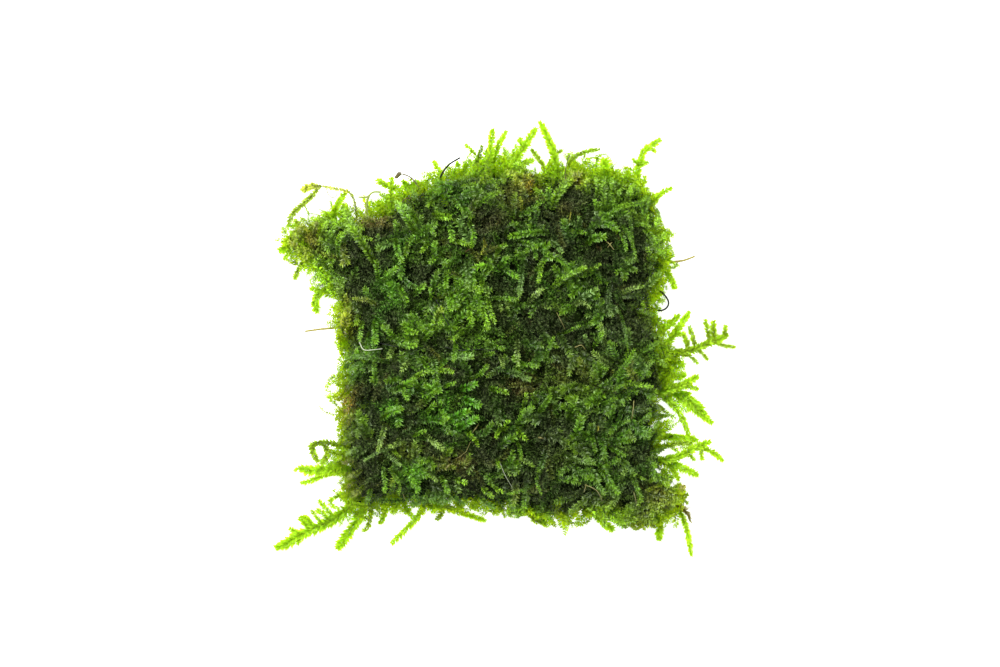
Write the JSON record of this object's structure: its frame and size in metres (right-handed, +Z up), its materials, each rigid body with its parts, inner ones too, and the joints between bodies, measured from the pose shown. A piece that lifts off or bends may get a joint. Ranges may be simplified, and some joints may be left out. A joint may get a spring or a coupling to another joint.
{
  "type": "moss clump",
  "caption": "Squarish flat pad of green feather moss with shaggy shoots and a few long fronds round its rim, resting on a flat cut underside.",
  "frame": {"origin": "centre of the bounding box in plan, on the flat underside", "axes": "+Z up out of the top, +Y towards the top edge as pictured from above, +X towards the right edge"},
  "size_m": [0.11, 0.1037, 0.0174],
  "materials": {
    "mat_moss": "moist dense moss, deep green with brown and olive patches",
    "young_moss": "bright lime-green young shoots that let light through",
    "olive_moss": "older olive-green shoots",
    "dry_moss": "straw-coloured to brown dry stems and tips",
    "dark_strand": "smooth wiry near-black strand"
  },
  "bodies": {
    "root": {"moss_mat": "mat_moss", "arching_runner": "olive_moss", "hanging_branch": "olive_moss", "upright_shoot_left": "young_moss", "lobe_tip": "young_moss", "hanging_olive_shoot": "olive_moss", "left_drop_shoot": "young_moss", "straw_stick": "dry_moss", "left_bent_shoot": "olive_moss", "left_wide_frond": "young_moss", "left_pale_frond": "young_moss", "left_curl": "young_moss", "bottom_left_frond": "young_moss", "bottom_lance": "young_moss", "bottom_thin_shoot": "olive_moss", "bottom_short_shoot": "young_moss", "bottom_slant_frond": "young_moss", "bottom_dark_stub": "olive_moss", "bottom_long_shoot": "young_moss", "bottom_blunt_shoot": "young_moss", "bottom_right_lance": "young_moss", "bottom_right_long": "young_moss", "right_tail": "dry_moss", "right_tuft_upper": "dry_moss", "right_tuft_lower": "olive_moss", "right_low_frond": "young_moss", "right_fork_frond": "young_moss", "right_fork_branch": "young_moss", "right_arc_shoot": "olive_moss", "right_straight_shoot": "young_moss", "right_cross_shoot": "young_moss", "right_broad_frond": "young_moss", "right_upper_fork": "young_moss", "right_stub_lower": "young_moss", "right_stub_upper": "young_moss", "right_big_frond": "olive_moss", "right_pair_outer": "young_moss", "right_pair_inner": "young_moss", "right_drop_shoot": "young_moss", "right_thin_stem": "dry_moss", "top_right_curl": "young_moss", "top_right_frond": "young_moss", "top_knob": "young_moss", "top_arm": "dry_moss", "top_tall_shoot": "young_moss", "top_thin_shoot": "olive_moss", "top_hook_shoot": "olive_moss", "top_big_shoot": "young_moss", "top_pair_left": "young_moss", "top_pair_right": "young_moss", "top_spike": "olive_moss", "top_nodding_tip": "young_moss", "top_pale_tip": "young_moss", "left_cross_shoot": "young_moss", "curled_stem": "dry_moss", "capsule_stalk": "dry_moss", "dark_strand": "dark_strand", "dark_loop": "dark_strand"}
  },
  "joints": []
}
